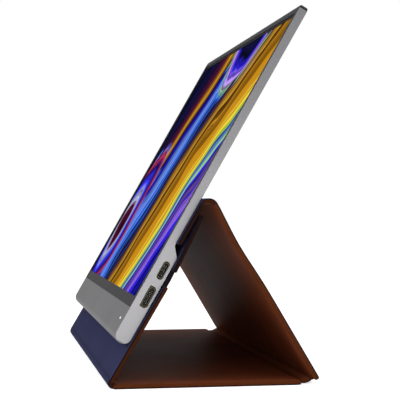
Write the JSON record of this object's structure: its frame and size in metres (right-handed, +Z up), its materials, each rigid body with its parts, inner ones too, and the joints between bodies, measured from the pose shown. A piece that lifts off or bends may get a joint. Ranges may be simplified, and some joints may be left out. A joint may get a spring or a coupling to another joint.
{
  "type": "portable monitor with folding cover",
  "caption": "Slim flat-panel monitor leaning at 60 degrees on a folding leather cover that closes into a triangular stand behind it.",
  "frame": {"origin": "bottom centre of the bounding box, on the surface that the base panel lies on", "axes": "+X along the width, towards the side with the video socket; the screen faces -Y and leans back towards +Y; +Z up"},
  "size_m": [0.307, 0.1104, 0.1996],
  "materials": {
    "housing_metal": "bead-blasted, clear anodised",
    "key_metal": "bead-blasted, clear anodised",
    "bezel_plastic": "fine-spark textured",
    "screen_glass": "glossy cover glass laminated to the panel, picture lit",
    "panel_black": "gloss black panel",
    "sheet_metal": "tin-plated sheet",
    "socket_metal": "nickel-plated shell",
    "foam": "closed-cell foam",
    "ribbon_film": "polyimide film",
    "circuit_board": "solder mask",
    "chip_plastic": "moulded epoxy",
    "light_guide": "clear acrylic",
    "magnet_metal": "nickel-plated magnet",
    "tape_film": "adhesive tape",
    "leather": "smooth brown coated leather",
    "lining_fabric": "navy microfibre",
    "greyboard": "pressed greyboard"
  },
  "bodies": {
    "screen": {"rear_housing": "housing_metal", "front_bezel": "bezel_plastic", "display_glass": "screen_glass", "oled_panel": "panel_black", "panel_plate": "sheet_metal", "panel_pads": "foam", "display_ribbon": "ribbon_film", "main_board": "circuit_board", "board_chips": "chip_plastic", "shield_can": "sheet_metal", "board_screws": "sheet_metal", "usb_c_socket_right": "socket_metal", "mini_video_socket": "socket_metal", "usb_c_socket_left": "socket_metal", "key_switches": "chip_plastic", "power_light": "light_guide", "hump_magnets": "magnet_metal", "mount_tape": "tape_film", "mount_strip_lining": "lining_fabric", "mount_strip_board": "greyboard", "mount_strip_leather": "leather"},
    "power_key": {"power_button": "key_metal"},
    "menu_key": {"menu_rocker": "key_metal"},
    "leg": {"top_fold_leather": "leather", "top_fold_lining": "lining_fabric", "leg_leather": "leather", "leg_board": "greyboard", "leg_lining": "lining_fabric", "leg_magnets": "magnet_metal"},
    "spine": {"rear_fold_leather": "leather", "rear_fold_lining": "lining_fabric", "spine_leather": "leather", "spine_board": "greyboard", "spine_lining": "lining_fabric"},
    "base": {"base_fold_leather": "leather", "base_fold_lining": "lining_fabric", "base_leather": "leather", "base_board": "greyboard", "base_lining": "lining_fabric"},
    "prop_low": {"front_fold_leather": "leather", "front_fold_lining": "lining_fabric", "prop_low_leather": "leather", "prop_low_board": "greyboard", "prop_low_lining": "lining_fabric", "prop_magnets": "magnet_metal"},
    "prop_top": {"prop_crease_leather": "leather", "prop_crease_lining": "lining_fabric", "prop_top_leather": "leather", "prop_top_board": "greyboard", "prop_top_lining": "lining_fabric"}
  },
  "joints": [
    {"name": "top_fold", "type": "hinge", "parent": "screen", "child": "leg", "pos_m": [0, -0.00269, 0.09234], "axis": [1, 0, 0], "range_deg": [0, 119.3], "deforming": ["top_fold_leather", "top_fold_lining"]},
    {"name": "rear_fold", "type": "hinge", "parent": "leg", "child": "spine", "pos_m": [0, 0.05394, 0.00359], "axis": [1, 0, 0], "range_deg": [0, 104.3], "deforming": ["rear_fold_leather", "rear_fold_lining"]},
    {"name": "base_fold", "type": "hinge", "parent": "spine", "child": "base", "pos_m": [0, 0.04577, 0.00125], "axis": [1, 0, 0], "range_deg": [0, 16.1], "deforming": ["base_fold_leather", "base_fold_lining"]},
    {"name": "front_fold", "type": "hinge", "parent": "base", "child": "prop_low", "pos_m": [0, -0.05254, 0.00265], "axis": [1, 0, 0], "range_deg": [-59.4, 0], "deforming": ["front_fold_leather", "front_fold_lining"]},
    {"name": "prop_crease", "type": "hinge", "parent": "prop_low", "child": "prop_top", "pos_m": [0, -0.02265, 0.0555], "axis": [1, 0, 0], "range_deg": [-4.1, 0], "deforming": ["prop_crease_leather", "prop_crease_lining"]},
    {"name": "power_press", "type": "slide", "parent": "screen", "child": "power_key", "axis": [1, 0, 0], "range_m": [0, 0.0004], "stiffness_N_per_m": 1500},
    {"name": "menu_rock", "type": "hinge", "parent": "screen", "child": "menu_key", "pos_m": [-0.14995, -0.03345, 0.04845], "axis": [0, 0.866, -0.5], "range_deg": [-3, 3], "stiffness_Nm_per_rad": 0.05}
  ],
  "couplings": [
    {"joint": "base_fold", "follows": "rear_fold", "ratio": 0.15323},
    {"joint": "front_fold", "follows": "rear_fold", "ratio": -0.56691},
    {"joint": "prop_crease", "follows": "rear_fold", "ratio": -0.038164}
  ]
}
